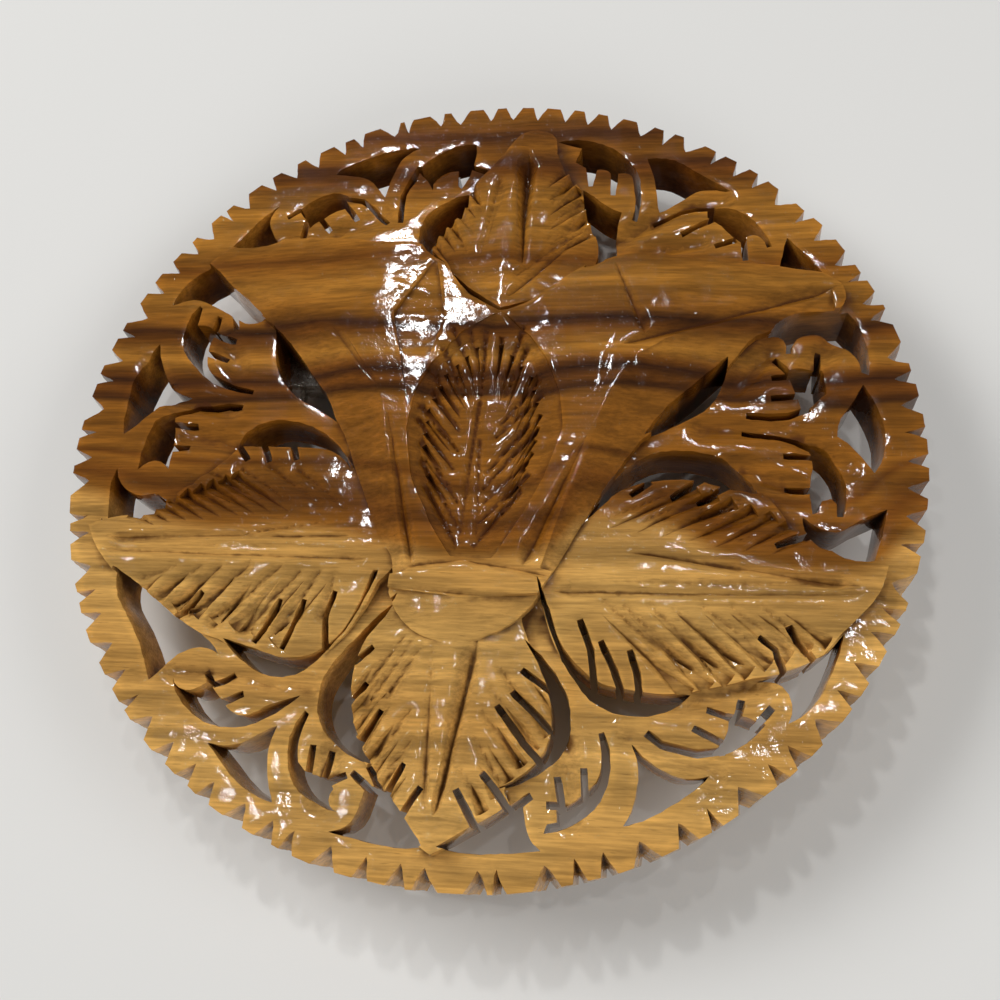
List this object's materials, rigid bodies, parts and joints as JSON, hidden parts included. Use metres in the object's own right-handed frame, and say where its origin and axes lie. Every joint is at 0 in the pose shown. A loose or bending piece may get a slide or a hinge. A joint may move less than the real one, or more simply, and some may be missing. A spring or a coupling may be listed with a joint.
{
  "type": "carved wooden brooch",
  "caption": "Round openwork brooch of carved, lacquered wood with a flower and leaves in relief, toothed rim, and a bar pin with a turning safety catch behind it",
  "frame": {"origin": "centre of the flat back of the wooden disc", "axes": "+Z out of the carved front, +Y towards the top of the flower, +X to the right seen from the front"},
  "size_m": [0.06, 0.06, 0.0091],
  "materials": {
    "lacquered_wood": "dark and golden olive-like wood under glossy lacquer",
    "plated_sheet": "stamped sheet steel, nickel plated",
    "steel_wire": "drawn wire, polished"
  },
  "bodies": {
    "brooch": {"carved_disc": "lacquered_wood", "pin_bar": "plated_sheet", "hinge_rivet": "plated_sheet"},
    "stem": {"pin_stem": "steel_wire"},
    "lock": {"catch_lock": "plated_sheet"}
  },
  "joints": [
    {"name": "stem_swing", "type": "hinge", "parent": "brooch", "child": "stem", "pos_m": [0.0149, 0.008, -0.0022], "axis": [0, -1, 0], "range_deg": [0, 75]},
    {"name": "lock_turn", "type": "hinge", "parent": "brooch", "child": "lock", "pos_m": [-0.0139, 0.008, -0.0022], "axis": [1, 0, 0], "range_deg": [0, 100]}
  ]
}
